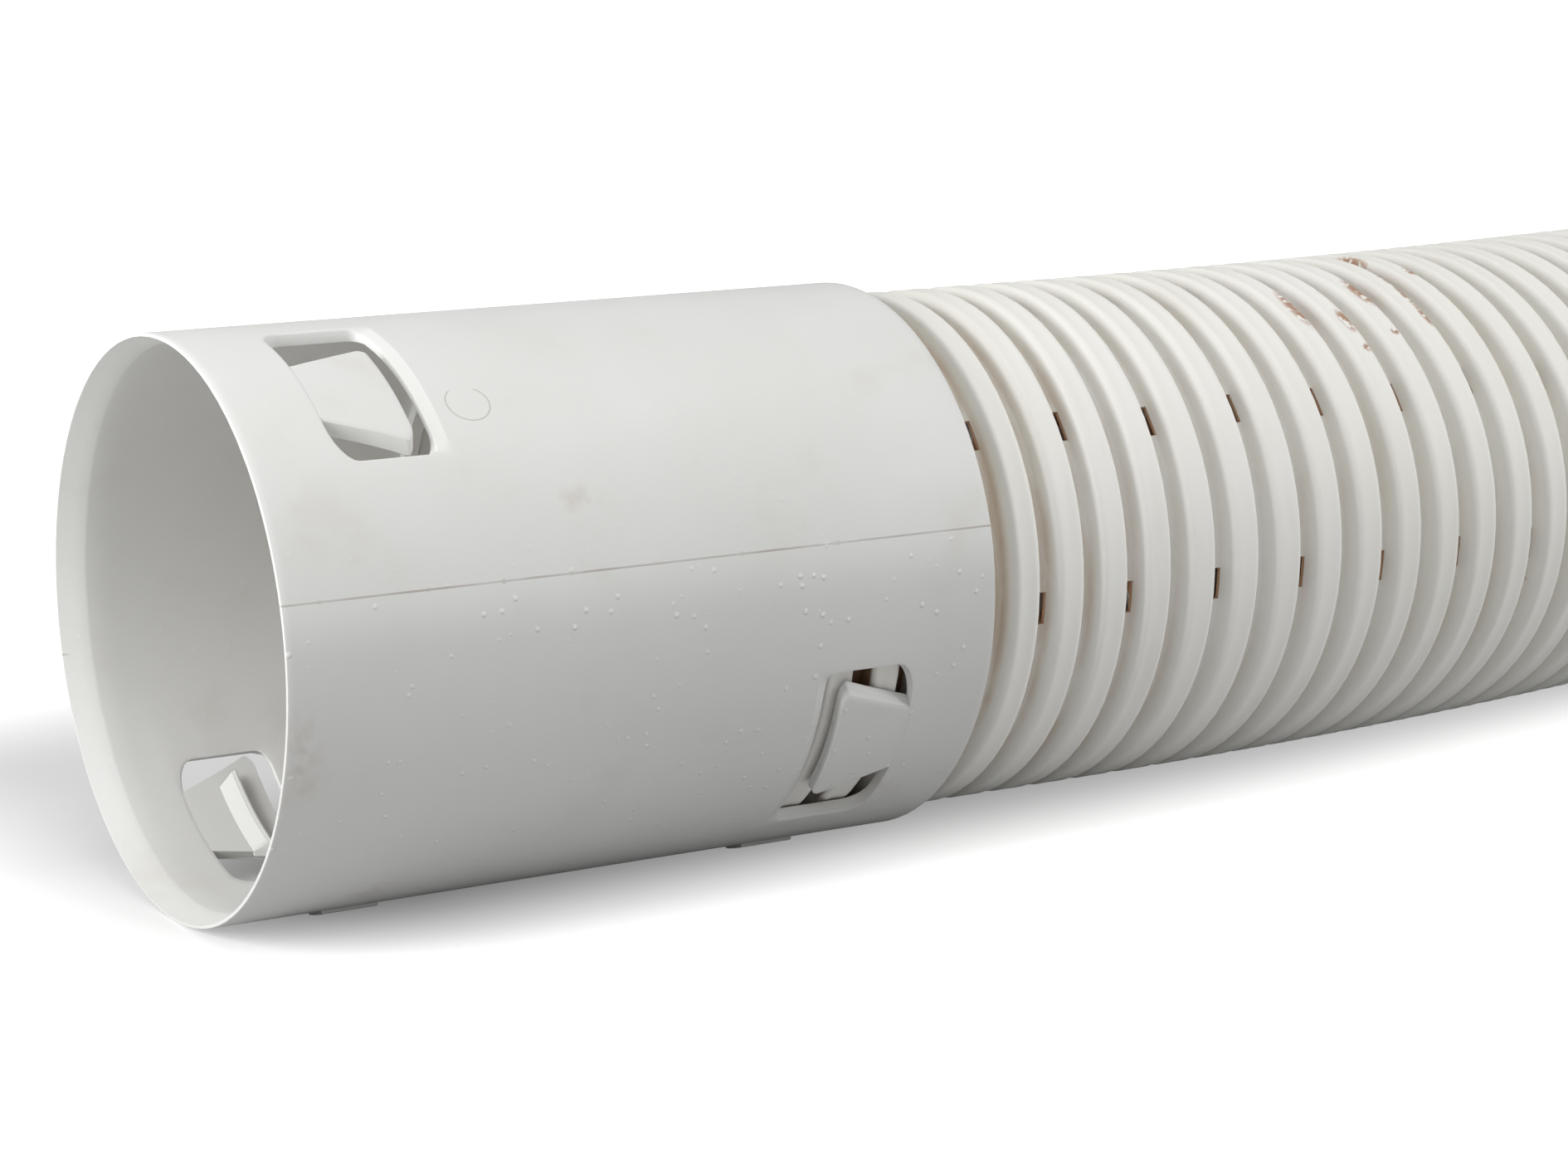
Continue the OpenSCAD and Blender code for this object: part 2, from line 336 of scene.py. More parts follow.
def rim_radius(x):
    """The outside radius, with the edges of both mouths rounded off."""
    from_end = min(x, SLEEVE_LENGTH - x)
    for place, drop in RIM_ROUND:
        if abs(from_end - place) < 0.001:
            return SLEEVE_R - drop
    return SLEEVE_R


def sleeve_mesh(material):
    maker = MeshMaker(SLEEVE_MATRIX)
    lines = angle_lines()
    patch_first = 6
    patch_last = patch_first + Y_STEPS
    half_count = len(lines) // 2
    patches = [
        (0, patch_first, patch_last),
        (1, half_count - patch_last, half_count - patch_first),
        (0, half_count + patch_first, half_count + patch_last),
        (1, 2 * half_count - patch_last, 2 * half_count - patch_first),
    ]
    middle = SLEEVE_LENGTH / 2
    near_x = [0.0, 0.09, 0.3, 1.5, 5.0, 9.5] + X_NODES
    outer_half = near_x + [45.5, 51.5, 57.5, 64.0]
    outer_x = outer_half + [middle] + [SLEEVE_LENGTH - x for x in reversed(outer_half)]
    outer_profile = [(x, rim_radius(x)) for x in outer_x]
    inner_half = [(0.0, LIP_R), (1.0, None), (3.0, None), (4.9, None), (5.5, BORE_R), (9.5, BORE_R)]
    inner_half = [(x, r if r else LIP_R - (LIP_R - BORE_R) * x / LEAD_IN) for x, r in inner_half]
    inner_half += [(x, BORE_R) for x in X_NODES] + [(48.0, BORE_R - 0.05), (58.0, BORE_R - 0.1)]
    step = middle - STOP_HALF
    inner_half += [(step - 0.15, STOP_BORE_R), (step, STOP_BORE_R - 0.15)]
    inner_half += [(step, STOP_R + 0.2), (step + 0.2, STOP_R)]
    inner_profile = inner_half + [(SLEEVE_LENGTH - x, r) for x, r in reversed(inner_half)]

    def in_patch(x0, x1, line):
        for end, first, last in patches:
            a, b = (x0, x1) if end == 0 else (SLEEVE_LENGTH - x1, SLEEVE_LENGTH - x0)
            inside = a > PATCH_X[0] - 0.01 and b < PATCH_X[1] + 0.01
            if inside and first <= line < last:
                return True
        return False

    rings = {}
    for side, profile in ((0, outer_profile), (1, inner_profile)):
        rings[side] = []
        for x, r in profile:
            ring = []
            for pair in lines:
                a = math.radians(pair[side])
                ring.append(maker.add((x, -r * math.cos(a), r * math.sin(a))))
            rings[side].append(ring)
        for i in range(len(profile) - 1):
            for j in range(len(lines)):
                if in_patch(profile[i][0], profile[i + 1][0], j):
                    continue
                k = (j + 1) % len(lines)
                a, b = rings[side][i], rings[side][i + 1]
                maker.faces.append((a[j], a[k], b[k], b[j]))
    for end in (0, -1):
        maker.strip(rings[0][end], rings[1][end], closed=True)
    for place in latch_turns():
        loops = [[maker.add(place(p)) for p in loop] for loop in window_loops()]
        for a, b in zip(loops, loops[1:]):
            maker.strip(a, b, closed=True)

    def on_bevel_end(point):
        from_end = min(point.x, SLEEVE_LENGTH - point.x)
        across = WINDOW_INNER_Y < abs(point.y) < WINDOW_OUTER_Y
        return across and abs(from_end - BEVEL_END) < 0.02 and math.hypot(point.y, point.z) > BORE_R + 1

    return maker.build("coupling_sleeve_shell", material, weld=0.02, crisp=on_bevel_end)


def tongue_half_width(x):
    """Half of a tongue's width: it widens to its free end and has round corners there."""
    widest = TONGUE_END - TONGUE_CORNER
    half = mix(TONGUE_ROOT_HALF, TONGUE_TIP_HALF, min(1.0, (x - WINDOW_START) / (widest - WINDOW_START)))
    beyond = x - widest
    if beyond > 0:
        half -= TONGUE_CORNER - math.sqrt(max(0.0, TONGUE_CORNER ** 2 - beyond ** 2))
    return half


def edge_drop(distance, edge):
    """How far a surface has rounded off at this distance from its edge."""
    return edge - math.sqrt(edge ** 2 - (edge - min(distance, edge)) ** 2)


def block(maker, top, bottom):
    """A closed block between two grids of point numbers of the same size."""
    for a, b in zip(top, top[1:]):
        maker.strip(a, b)
    for a, b in zip(bottom, bottom[1:]):
        maker.strip(b, a)
    rims = []
    for grid in (top, bottom):
        right = [row[-1] for row in grid[1:-1]]
        left = [row[0] for row in grid[-2:0:-1]]
        rims.append(grid[0] + right + grid[-1][::-1] + left)
    maker.strip(rims[0], rims[1], closed=True)


def tongue_mesh(name, place, rise, material):
    """A springy flap whose free end is a little in or out of the wall, with its hook beneath."""
    maker = MeshMaker(SLEEVE_MATRIX)
    edge = 0.45
    near_edge = [0.0, 0.02, 0.08, 0.18, 0.3, 0.45, 0.9]
    hinge_sink = 0.08
    lean_inner, lean_outer = 1.3, 0.7
    root = WINDOW_START - 0.3
    xs = [root, WINDOW_START + 0.3] + spread(17.5, TONGUE_END - 2.4, 7)
    xs += [TONGUE_END - g for g in (1.6, 1.2)]
    xs += [TONGUE_END - g for g in reversed(near_edge[:-1])]

    def lift(x):
        share = max(0.0, (x - WINDOW_START) / (TONGUE_END - WINDOW_START))
        return rise * share

    top, bottom = [], []
    for x in xs:
        half = tongue_half_width(x)
        flat = half - near_edge[-1]
        offsets = [-half + g for g in near_edge] + spread(-flat, flat, 8)[1:-1]
        offsets += [half - g for g in reversed(near_edge)]
        row_top, row_bottom = [], []
        for offset in offsets:
            y = TONGUE_Y + offset
            drop = edge_drop(min(half - abs(offset), TONGUE_END - x), edge)
            top_r = SLEEVE_R + lift(x) - hinge_sink
            row_top.append(maker.add(place((x, y, math.sqrt(top_r ** 2 - y * y) - drop))))
            bottom_y = y - mix(lean_inner, lean_outer, (offset + half) / (2 * half))
            bottom_r = BORE_R + max(0.0, lift(x))
            row_bottom.append(maker.add(place((x, bottom_y, math.sqrt(bottom_r ** 2 - bottom_y ** 2)))))
        top.append(row_top)
        bottom.append(row_bottom)
    block(maker, top, bottom)

    # The hook: a ramp, a flat crest and a face that catches a rib
    top, bottom = [], []
    end = HOOK_X + HOOK_FLAT
    hook_xs = [HOOK_X + g for g in (-HOOK_RAMP, -0.25, -0.08, 0.1, 0.3)]
    hook_xs += [end - g for g in (0.2, 0.06, 0.0)]
    for x in hook_xs:
        ramp = HOOK_HEIGHT * clamp((x - HOOK_X + HOOK_RAMP) / HOOK_RAMP)
        ramp -= 0.12 * smooth((x - HOOK_X + 0.3) / 0.3) * (1 - smooth((x - HOOK_X) / 0.3))
        ramp -= edge_drop(end - x, 0.2)
        low = TONGUE_Y - tongue_half_width(x) - lean_inner + 0.01
        row_top, row_bottom = [], []
        hook_ys = [low, low + 0.06, low + 0.2] + spread(low + 0.8, HOOK_OUTER_Y - 0.8, 7)
        hook_ys += [HOOK_OUTER_Y - g for g in (0.2, 0.06, 0.0)]
        for y in hook_ys:
            drop = edge_drop(min(y - low, HOOK_OUTER_Y - y), 0.2)
            under = BORE_R - max(0.0, ramp - drop * clamp(ramp / 0.4)) + max(0.0, lift(x)) * 0.5
            row_bottom.append(maker.add(place((x, y, math.sqrt(under ** 2 - y * y)))))
            row_top.append(maker.add(place((x, y, math.sqrt((BORE_R + 0.7) ** 2 - y * y)))))
        top.append(row_top)
        bottom.append(row_bottom)
    block(maker, top, bottom)
    return maker.build(name, material, sharp_angle=24)


def pad_mesh(name, centre, material):
    """A low pad under the sleeve, with a soft edge."""
    maker = MeshMaker(SLEEVE_MATRIX)
    edge = 0.25
    near_edge = [0.0, 0.06, 0.25, 1.0]
    xs = near_edge + spread(2.0, PAD_LENGTH - 2.0, 3) + [PAD_LENGTH - g for g in reversed(near_edge)]
    ys = near_edge + spread(2.0, PAD_WIDTH - 2.0, 2) + [PAD_WIDTH - g for g in reversed(near_edge)]

    top, bottom = [], []
    for x in xs:
        row_top, row_bottom = [], []
        for v in ys:
            y = v - PAD_WIDTH / 2
            sink = edge_drop(min(x, PAD_LENGTH - x, v, PAD_WIDTH - v), edge)
            place_x = centre - PAD_LENGTH / 2 + x
            row_top.append(maker.add((place_x, y, -math.sqrt((SLEEVE_R + PAD_HEIGHT) ** 2 - y * y) + sink)))
            row_bottom.append(maker.add((place_x, y, -math.sqrt((SLEEVE_R - 0.3) ** 2 - y * y))))
        top.append(row_top)
        bottom.append(row_bottom)
    block(maker, top, bottom)
    return maker.build(name, material, sharp_angle=50)


# Pipe

def path_point(s):
    """The middle line's point and direction at distance s from the sleeve's mouth."""
    start = Vector((math.cos(FIRST_HEADING), math.sin(FIRST_HEADING), 0))
    if s <= BEND_START:
        return MOUTH + start * s, FIRST_HEADING
    corner = MOUTH + start * BEND_START
    centre = corner + BEND_RADIUS * Vector((-math.sin(FIRST_HEADING), math.cos(FIRST_HEADING), 0))
    turned = min((s - BEND_START) / BEND_RADIUS, BEND_ANGLE)
    heading = FIRST_HEADING + turned
    point = centre + BEND_RADIUS * Vector((math.sin(heading), -math.cos(heading), 0))
    beyond = max(0.0, s - BEND_START - BEND_LENGTH)
    return point + Vector((math.cos(heading), math.sin(heading), 0)) * beyond, heading


NEAR_RIB = [
    (3.7, 0.0), (3.63, 0.14), (3.46, 0.62), (3.2, 1.62), (2.92, 2.6),
    (2.5, 3.16), (2.05, 3.38), (1.45, 3.34), (0.7, 3.24),
]
FAR_RIB = [(3.68, 0.05), (3.3, 1.6), (2.75, 3.1), (1.4, 3.38)]
INSIDE_NEAR_RIB = [(3.3, 0.2), (1.7, 3.3)]
INSIDE_FAR_RIB = [(2.4, 2.9)]
NEAR_RIBS = 26
NEAR_COLUMNS = 72
FAR_COLUMNS = 48
SCATTER = random.Random(4)


def slot_angles(groove):
    """Height angles of the slots in a groove, with the small scatter that the cutting leaves."""
    rows = [2 * i + groove % 2 for i in range(SLOTS_PER_GROOVE)]
    return [LOWEST_ROW_ANGLE + SLOT_ROW_ANGLE * row + SCATTER.uniform(-1.2, 1.2) for row in rows]


def pipe_mesh(material):
    maker = MeshMaker()
    slots = {k: slot_angles(k) for k in range(1, RIB_COUNT)}

    def ring(s, radius, columns, moved=None):
        point, heading = path_point(s)
        near = Vector((math.sin(heading), -math.cos(heading), 0))
        up = Vector((0, 0, 1))
        found = []
        for j in range(columns):
            angle = math.radians((moved or {}).get(j, j * 360 / columns))
            place = point + radius * (math.cos(angle) * near + math.sin(angle) * up)
            found.append(maker.add(place, (s, -radius * math.cos(angle), radius * math.sin(angle))))
        return found

    def slot_columns(k, columns):
        """Columns moved to a slot's ends and middle, and the columns that the slots leave open."""
        pitch = 360 / columns
        half = math.degrees(SLOT_LENGTH / 2 / FLOOR_R)
        cells = 2 if columns == NEAR_COLUMNS else 1
        moved, open_cells = {}, set()
        for angle in slots[k]:
            first = round((angle - half) / pitch)
            for i in range(cells + 1):
                moved[(first + i) % columns] = angle - half + 2 * half * i / cells
            open_cells.update((first + i) % columns for i in range(cells))
        return moved, open_cells

    def skin(radius, rib_near, rib_far):
        """One skin of the pipe, outside or inside, and the edges of its slots."""
        edges = {}
        previous = None
        for k in range(RIB_COUNT):
            columns = NEAR_COLUMNS if k < NEAR_RIBS else FAR_COLUMNS
            half = rib_near if k < NEAR_RIBS else rib_far
            middle = PIPE_START + (k + 0.5) * RIB_PITCH
            moved, open_cells = slot_columns(k, columns) if k else ({}, set())
            start = ring(middle - RIB_PITCH / 2 + (SLOT_FAR_WIDTH if k else 0), radius, columns, moved)
            if previous:
                if len(previous) != columns:
                    moved_before, _ = slot_columns(k, len(previous))
                    between = ring(middle - RIB_PITCH / 2 - SLOT_HALF_WIDTH / 2, radius, columns, moved)
                    maker.zipper(previous, between)
                    previous = between
                count = len(previous)
                for j in range(count):
                    if j not in open_cells:
                        n = (j + 1) % count
                        maker.faces.append((previous[j], previous[n], start[n], start[j]))
                edges[k] = (previous, start, open_cells)
            rings = [start]
            rings += [ring(middle - d, radius + h, columns) for d, h in half]
            rings += [ring(middle + d, radius + h, columns) for d, h in reversed(half)]
            end_s = middle + RIB_PITCH / 2
            if k + 1 < RIB_COUNT:
                moved, _ = slot_columns(k + 1, columns)
                rings.append(ring(end_s - SLOT_HALF_WIDTH, radius, columns, moved))
            else:
                rings.append(ring(end_s, radius, columns))
            for a, b in zip(rings, rings[1:]):
                maker.strip(a, b, closed=True)
            previous = rings[-1]
            if k == 0:
                first_ring = rings[0]
        return first_ring, previous, edges

    outside = skin(FLOOR_R, NEAR_RIB, FAR_RIB)
    inside = skin(INSIDE_R, INSIDE_NEAR_RIB, INSIDE_FAR_RIB)
    maker.strip(outside[0], inside[0], closed=True)
    maker.strip(outside[1], inside[1], closed=True)
    for k, (before, after, open_cells) in outside[2].items():
        before_in, after_in, _ = inside[2][k]
        count = len(before)
        for j in open_cells:
            n = (j + 1) % count
            maker.faces.append((before[j], before[n], before_in[n], before_in[j]))
            maker.faces.append((after[j], after[n], after_in[n], after_in[j]))
            if (j - 1) % count not in open_cells:
                maker.faces.append((before[j], after[j], after_in[j], before_in[j]))
            if n not in open_cells:
                maker.faces.append((before[n], after[n], after_in[n], before_in[n]))
    return maker.build("drain_pipe_skin", material, sharp_angle=60)


# Materials

class Shader:
    """Short names for the nodes of one material."""

    def __init__(self, name):
        self.material = bpy.data.materials.new(name)
        self.material.use_nodes = True
        self.nodes = self.material.node_tree.nodes
        self.links = self.material.node_tree.links
        self.surface = self.nodes["Principled BSDF"]

    def set(self, socket, value):
        if isinstance(value, bpy.types.NodeSocket):
            self.links.new(value, socket)
        elif value is not None:
            socket.default_value = value

    def math(self, operation, a, b=None, c=None, clamped=False):
        node = self.nodes.new("ShaderNodeMath")
        node.operation = operation
        node.use_clamp = clamped
        for socket, value in zip(node.inputs, (a, b, c)):
            self.set(socket, value)
        return node.outputs[0]

    def vector_math(self, operation, a, b=None, output="Vector"):
        node = self.nodes.new("ShaderNodeVectorMath")
        node.operation = operation
        self.set(node.inputs[0], a)
        self.set(node.inputs[1], b)
        return node.outputs[output]

    def ramp(self, value, low, high, to_low=0.0, to_high=1.0):
        """A smooth step of value from low to high."""
        node = self.nodes.new("ShaderNodeMapRange")
        node.interpolation_type = "SMOOTHSTEP"
        for socket, item in zip(node.inputs, (value, low, high, to_low, to_high)):
            self.set(socket, item)
        return node.outputs["Result"]

    def mix(self, factor, a, b):
        node = self.nodes.new("ShaderNodeMix")
        node.data_type = "RGBA"
        self.set(node.inputs["Factor"], factor)
        self.set(node.inputs["A"], a)
        self.set(node.inputs["B"], b)
        return node.outputs["Result"]

    def noise(self, vector, scale, detail=3.0, roughness=0.55):
        node = self.nodes.new("ShaderNodeTexNoise")
        self.set(node.inputs["Vector"], vector)
        node.inputs["Scale"].default_value = scale
        node.inputs["Detail"].default_value = detail
        node.inputs["Roughness"].default_value = roughness
        return node.outputs["Fac"]

    def cells(self, vector, scale):
        node = self.nodes.new("ShaderNodeTexVoronoi")
        self.set(node.inputs["Vector"], vector)
        node.inputs["Scale"].default_value = scale
        return node.outputs["Distance"]

    def split(self, vector):
        node = self.nodes.new("ShaderNodeSeparateXYZ")
        self.set(node.inputs[0], vector)
        return node.outputs

    def join(self, x, y, z):
        node = self.nodes.new("ShaderNodeCombineXYZ")
        for socket, value in zip(node.inputs, (x, y, z)):
            self.set(socket, value)
        return node.outputs[0]

    def bump(self, height, distance, strength=1.0, normal=None):
        node = self.nodes.new("ShaderNodeBump")
        node.inputs["Strength"].default_value = strength
        node.inputs["Distance"].default_value = distance
        self.set(node.inputs["Height"], height)
        self.set(node.inputs["Normal"], normal)
        return node.outputs[0]

    def unrolled_place(self):
        """The point's place in its piece's own straight frame."""
        node = self.nodes.new("ShaderNodeAttribute")
        node.attribute_name = "straight"
        return node.outputs["Vector"]

    def reach(self, a, b):
        return self.math("SQRT", self.math("ADD", self.math("POWER", a, 2), self.math("POWER", b, 2)))

    def height_angle(self, y, z):
        """Height angle in degrees from the near side, between -180 and 180."""
        radians = self.math("ARCTAN2", z, self.math("MULTIPLY", y, -1))
        return self.math("MULTIPLY", radians, 180 / math.pi)

    def most(self, items):
        found = items[0]
        for item in items[1:]:
            found = self.math("MAXIMUM", found, item)
        return found


def colour(red, green, blue):
    """A colour given as it looks on screen, from 0 to 255."""
    def linear(value):
        value /= 255
        return value / 12.92 if value <= 0.04045 else ((value + 0.055) / 1.055) ** 2.4
    return (linear(red), linear(green), linear(blue), 1)


def patch_mask(shader, x, angle, radius, centre_x, centre_angle, half_x, half_arc, soft):
    """1 inside an ellipse on the unrolled surface, fading over soft of its size. Lengths are in mm."""
    across = shader.math("MULTIPLY", shader.math("SUBTRACT", x, centre_x * MM), 1 / (half_x * MM))
    turn = shader.math("SUBTRACT", angle, centre_angle)
    around = shader.math("MULTIPLY", turn, math.radians(radius) / half_arc)
    distance = shader.reach(across, around)
    return shader.ramp(distance, 1 + soft, 1 - soft)


SLEEVE_COLOUR = colour(219, 219, 217)
PIPE_COLOUR = colour(232, 231, 227)
GRIME = colour(132, 116, 98)
SCUFF = colour(160, 118, 90)
EARTH = colour(112, 80, 54)
DUST = colour(186, 138, 100)


def sleeve_material():
    shader = Shader("sleeve_plastic")
    place = shader.unrolled_place()
    x, y, z = shader.split(place)
    angle = shader.height_angle(y, z)
    outside = shader.ramp(shader.reach(y, z), 0.0514, 0.0519)
    broad = shader.noise(place, 14.0)
    fine = shader.noise(place, 160.0)
    base = shader.mix(shader.ramp(broad, 0.35, 0.7), SLEEVE_COLOUR, colour(213, 213, 210))
    stain = shader.math("MULTIPLY", shader.ramp(shader.noise(place, 55.0, 4.0), 0.56, 0.75), 0.22)
    base = shader.mix(stain, base, colour(196, 190, 178))

    # Painted shade: below the parting line the near side is painted a little darker, as the lower side lies
    # in shade
    painted_lower_shade = shader.math("MULTIPLY", shader.ramp(angle, 1, -12), shader.ramp(angle, -85, -50))
    painted_lower_shade = shader.math("MULTIPLY", painted_lower_shade, shader.math("MULTIPLY", outside, 0.42))
    base = shader.mix(painted_lower_shade, base, colour(188, 188, 186))

    # Parting line with its burrs
    line = shader.math("ABSOLUTE", z)
    line_mask = shader.ramp(line, 0.00028, 0.00008)
    near_side = shader.ramp(y, 0.001, -0.001)
    burr_noise = shader.noise(shader.join(x, 0.0, 0.0), 210.0, 2.0)
    burr = shader.math("MULTIPLY", shader.ramp(burr_noise, 0.6, 0.72), shader.ramp(line, 0.0006, 0.0002))
    faded = shader.ramp(shader.noise(shader.join(x, 0.0, 0.0), 60.0, 2.0), 0.3, 0.7, 0.2, 0.55)
    seam = shader.math("MULTIPLY", line_mask, faded)
    seam = shader.math("MAXIMUM", seam, shader.math("MULTIPLY", burr, 0.7))
    seam = shader.math("MULTIPLY", seam, outside)
    base = shader.mix(seam, base, GRIME)

    # Small moulding pimples, mostly below the parting line
    cells = shader.cells(place, 300.0)
    chosen = shader.ramp(shader.noise(place, 95.0, 1.0), 0.42, 0.5)
    below = shader.math("MULTIPLY", shader.ramp(angle, 4, -6), shader.ramp(angle, -75, -50))
    below = shader.math("MULTIPLY", below, near_side)
    pimple = shader.math("MULTIPLY", shader.ramp(cells, 0.2, 0.06), chosen)
    pimple_near = shader.math("MULTIPLY", pimple, shader.math("MAXIMUM", below, 0.12))
    base = shader.mix(shader.math("MULTIPLY", pimple_near, 0.4), base, colour(244, 244, 240))

    # Smudges
    smudges = [
        patch_mask(shader, x, angle, SLEEVE_R, 3.0, -29.0, 3.0, 7.0, 0.8),
        patch_mask(shader, x, angle, SLEEVE_R, 26.0, -72.0, 3.5, 3.0, 0.8),
        patch_mask(shader, x, angle, SLEEVE_R, 58.0, 14.0, 3.5, 2.0, 0.8),
        patch_mask(shader, x, angle, SLEEVE_R, 122.0, -60.0, 4.0, 3.0, 0.8),
    ]
    mottled = shader.ramp(shader.noise(place, 300.0), 0.35, 0.7)
    smudge = shader.math("MULTIPLY", shader.most(smudges), mottled)
    base = shader.mix(shader.math("MULTIPLY", smudge, 0.4), base, colour(178, 160, 146))

    # The ring mark beside the window, open at its top
    ring_x, ring_angle, ring_radius = 43.9, 37.0, 4.0
    across = shader.math("SUBTRACT", x, ring_x * MM)
    around = shader.math("MULTIPLY", shader.math("SUBTRACT", angle, ring_angle), math.radians(SLEEVE_R) * MM)
    from_ring = shader.math("SUBTRACT", shader.reach(across, around), ring_radius * MM)
    ring = shader.ramp(shader.math("ABSOLUTE", from_ring), 0.00019, 0.00007)
    gap = shader.math("MULTIPLY", shader.ramp(around, 0.0032, 0.0028), shader.ramp(x, 0.0460, 0.0430))
    shown = shader.math("ADD", gap, shader.ramp(around, 0.0034, 0.0030), clamped=True)
    ring = shader.math("MULTIPLY", ring, shown)
    base = shader.mix(shader.math("MULTIPLY", ring, 0.5), base, colour(140, 136, 128))

    normal = shader.bump(fine, 0.00006, 0.25)
    normal = shader.bump(pimple_near, 0.00025, 0.8, normal)
    normal = shader.bump(seam, 0.00025, 0.5, normal)
    shader.set(shader.surface.inputs["Base Color"], base)
    rough = shader.ramp(shader.noise(place, 70.0), 0.3, 0.7, 0.46, 0.56)
    shader.set(shader.surface.inputs["Roughness"], rough)
    shader.set(shader.surface.inputs["Normal"], normal)
    shader.surface.inputs["IOR"].default_value = 1.5
    return shader.material


def pipe_material():
    shader = Shader("pipe_plastic")
    place = shader.unrolled_place()
    s, y, z = shader.split(place)
    angle = shader.height_angle(y, z)
    radius = shader.reach(y, z)
    broad = shader.noise(place, 11.0)
    fine = shader.noise(place, 240.0)
    streak = shader.noise(shader.join(shader.math("MULTIPLY", s, 6), y, z), 34.0, 4.0)
    base = shader.mix(shader.ramp(broad, 0.35, 0.7), PIPE_COLOUR, colour(229, 228, 222))
    streaked = shader.math("MULTIPLY", shader.ramp(streak, 0.5, 0.8), 0.25)
    base = shader.mix(streaked, base, colour(212, 207, 198))

    # Dust and grime in the grooves, most of it near the sleeve
    groove = shader.ramp(radius, 0.0487, 0.0467)
    near_sleeve = shader.ramp(s, 0.195, 0.145, 0.2, 0.8)
    dirt = shader.math("MULTIPLY", near_sleeve, shader.ramp(streak, 0.3, 0.65))
    dirt = shader.math("MULTIPLY", groove, dirt)
    base = shader.mix(dirt, base, colour(196, 178, 158))

    # Earth in the sleeve's lower near window, and inside behind the slots
    window_s = shader.math("MULTIPLY", shader.ramp(s, 0.1035, 0.1045), shader.ramp(s, 0.1265, 0.1255))
    window_turn = shader.math("MULTIPLY", shader.ramp(angle, -56, -52), shader.ramp(angle, -6, -10))
    earth = shader.math("MULTIPLY", window_s, window_turn)
    earth = shader.math("MULTIPLY", earth, shader.ramp(radius, 0.0495, 0.0487))
    base = shader.mix(shader.math("MULTIPLY", earth, shader.ramp(streak, 0.2, 0.5, 0.5, 0.95)), base, EARTH)
    behind = shader.math("MULTIPLY", shader.ramp(radius, 0.0465, 0.0462), shader.ramp(s, 0.13, 0.15))
    base = shader.mix(shader.math("MULTIPLY", behind, shader.ramp(s, 0.6, 0.4, 0.0, 0.9)), base, DUST)

    # Brown scuffs and grey marks on the crests
    marks = [
        (232.0, 62.0, 1.7, 5.6), (241.3, 56.0, 1.2, 3.0), (241.6, 47.0, 0.9, 1.0), (252.0, 66.0, 1.9, 4.6),
        (251.2, 51.0, 0.8, 0.9), (266.3, 86.5, 1.1, 4.6), (264.2, 79.0, 1.1, 5.0), (262.6, 71.0, 1.0, 5.0),
        (262.2, 62.0, 0.9, 4.6), (261.9, 55.0, 0.8, 3.0), (271.8, 73.0, 1.0, 1.8), (222.7, 47.0, 0.6, 0.7),
        (275.6, -16.0, 0.6, 0.6),
    ]
    masks = [patch_mask(shader, s, angle, PIPE_R, *mark[:2], mark[2], mark[3], 0.45) for mark in marks]
    torn = shader.ramp(shader.noise(place, 700.0, 2.0), 0.36, 0.5)
    scuff = shader.math("MULTIPLY", shader.most(masks), torn)
    base = shader.mix(shader.math("MULTIPLY", scuff, 0.9), base, SCUFF)

    normal = shader.bump(fine, 0.00008, 0.3)
    shader.set(shader.surface.inputs["Base Color"], base)
    rough = shader.ramp(shader.noise(place, 60.0), 0.3, 0.7, 0.5, 0.58)
    shader.set(shader.surface.inputs["Roughness"], rough)
    shader.set(shader.surface.inputs["Normal"], normal)
    shader.surface.inputs["IOR"].default_value = 1.5
    shader.surface.inputs["Specular IOR Level"].default_value = 0.25
    return shader.material


# Object

sleeve_plastic = sleeve_material()
pipe_plastic = pipe_material()

shell = sleeve_mesh(sleeve_plastic)
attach(shell, "root")
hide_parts("coupling_sleeve")

TIP_RISES = {
    "open_upper": -TONGUE_DIP,
    "open_lower": -TONGUE_DIP,
    "pipe_lower": TONGUE_LIFT,
    "pipe_upper": TONGUE_LIFT,
}
for (name, rise), turn in zip(TIP_RISES.items(), latch_turns()):
    tongue = tongue_mesh("latch_tongue_" + name, turn, rise, sleeve_plastic)
    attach(tongue, "root")

for name, centre in zip(("mould_pad_near", "mould_pad_far"), PAD_CENTRES):
    pad = pad_mesh(name, centre, sleeve_plastic)
    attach(pad, "root")

pipe = pipe_mesh(pipe_plastic)
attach(pipe, "root")
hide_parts("drain_pipe")


# Stage

FLOOR_REACH = 12.0
FLOOR_GREY = 0.52
FOOTPRINT_CENTRE = (0.54, 0.06)
FOOTPRINT_HALF = (0.5, 0.05)
SHADOW_WIDTH = 0.12
WORLD_LEVEL = 0.38

floor_z = min(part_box("coupling_sleeve")[0].z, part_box("drain_pipe")[0].z)
floor_mesh = bpy.data.meshes.new("studio_floor")
floor_corners = [(a * FLOOR_REACH, b * FLOOR_REACH, 0) for a, b in ((-1, -1), (1, -1), (1, 1), (-1, 1))]
floor_mesh.from_pydata(floor_corners, [], [(0, 1, 2, 3)])
floor = bpy.data.objects.new("studio_floor", floor_mesh)
floor.location.z = floor_z
bpy.context.scene.collection.objects.link(floor)
paint = Shader("floor_paint")
paint.surface.inputs["Base Color"].default_value = (FLOOR_GREY, FLOOR_GREY, FLOOR_GREY, 1)
paint.surface.inputs["Roughness"].default_value = 0.9
camera_ray = paint.nodes.new("ShaderNodeLightPath").outputs["Is Camera Ray"]
paint.surface.inputs["Emission Color"].default_value = (1, 1, 1, 1)


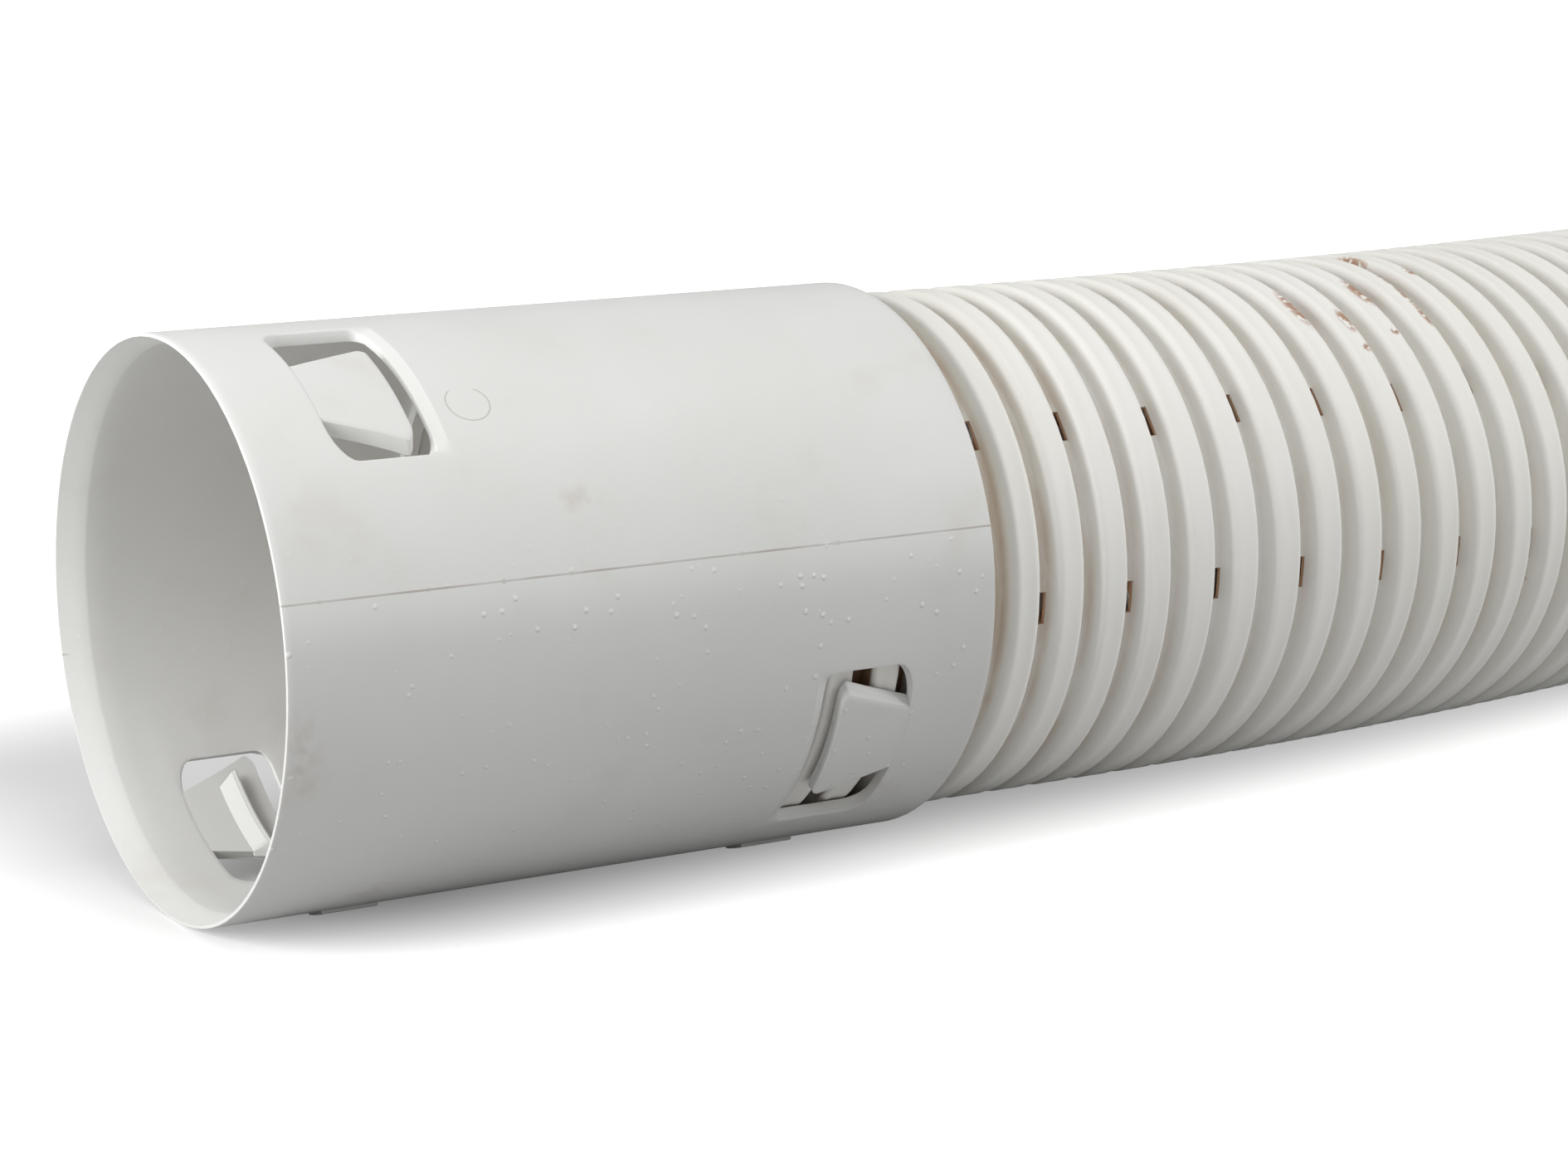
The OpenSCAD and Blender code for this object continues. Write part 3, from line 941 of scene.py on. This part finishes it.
def floor_beyond(coordinate, centre, half):
    """How far a place on the floor lies outside the object's footprint, along one axis."""
    off_centre = paint.math("ABSOLUTE", paint.math("SUBTRACT", coordinate, centre))
    return paint.math("MAXIMUM", paint.math("SUBTRACT", off_centre, half), 0.0)


# The floor glows white to the camera further off; around the object's footprint its glow drops, a painted
# shadow zone in which the object's real shadow shows close to it
floor_x, floor_y, _ = paint.split(paint.nodes.new("ShaderNodeTexCoord").outputs["Object"])
beyond_x = floor_beyond(floor_x, FOOTPRINT_CENTRE[0], FOOTPRINT_HALF[0])
beyond_y = floor_beyond(floor_y, FOOTPRINT_CENTRE[1], FOOTPRINT_HALF[1])
glow_outside_painted_shadow = paint.ramp(paint.reach(beyond_x, beyond_y), 0.0, SHADOW_WIDTH, 0.1, 1.0)
paint.set(paint.surface.inputs["Emission Strength"], paint.math("MULTIPLY", camera_ray, glow_outside_painted_shadow))
floor_mesh.materials.append(paint.material)

world = bpy.data.worlds.new("studio")
bpy.context.scene.world = world
world.use_nodes = True
background = world.node_tree.nodes["Background"]
light_path = world.node_tree.nodes.new("ShaderNodeLightPath")
level = world.node_tree.nodes.new("ShaderNodeMapRange")
world.node_tree.links.new(light_path.outputs["Is Camera Ray"], level.inputs["Value"])
level.inputs["To Min"].default_value = WORLD_LEVEL
level.inputs["To Max"].default_value = 1.0
background.inputs["Color"].default_value = (1, 1, 1, 1)
world.node_tree.links.new(level.outputs["Result"], background.inputs["Strength"])


def soft_light(name, location, target, size, power):
    data = bpy.data.lights.new(name, "AREA")
    data.shape = "RECTANGLE"
    data.size, data.size_y = size
    data.energy = power
    light = bpy.data.objects.new(name, data)
    light.location = location
    light.rotation_euler = (Vector(target) - Vector(location)).to_track_quat("-Z", "Y").to_euler()
    bpy.context.scene.collection.objects.link(light)


soft_light("top_softbox", (0.5, -0.36, 1.5), (0.5, 0, 0), (2.2, 0.9), 10.5)
soft_light("left_softbox", (-0.5, 0.05, 0.2), (0.0, 0, 0), (0.3, 0.3), 3.6)
soft_light("right_softbox", (1.5, -1.1, 0.9), (0.3, 0, 0), (0.9, 0.9), 14)

# Camera: the place that the photo's ellipses and ribs fit, given in the sleeve's own frame
CAMERA_PLACE = Vector((-251.6, -621.1, 141.3))
CAMERA_FORWARD = Vector((0.51058, 0.83683, -0.19774))
FOCAL_PIXELS = 4649.0
SENSOR_WIDTH = 36
camera_data = bpy.data.cameras.new("camera")
camera_data.sensor_width = SENSOR_WIDTH
camera_data.lens = FOCAL_PIXELS / PHOTO_WIDTH * SENSOR_WIDTH
camera = bpy.data.objects.new("camera", camera_data)
turn = Matrix.Rotation(FIRST_HEADING, 3, "Z")
camera.location = (MOUTH + turn @ CAMERA_PLACE) * MM
camera.rotation_euler = (turn @ CAMERA_FORWARD).to_track_quat("-Z", "Y").to_euler()
camera_data.clip_start = 0.01
camera_data.clip_end = 100
bpy.context.scene.collection.objects.link(camera)
bpy.context.scene.camera = camera
bpy.context.scene.view_settings.view_transform = "Standard"
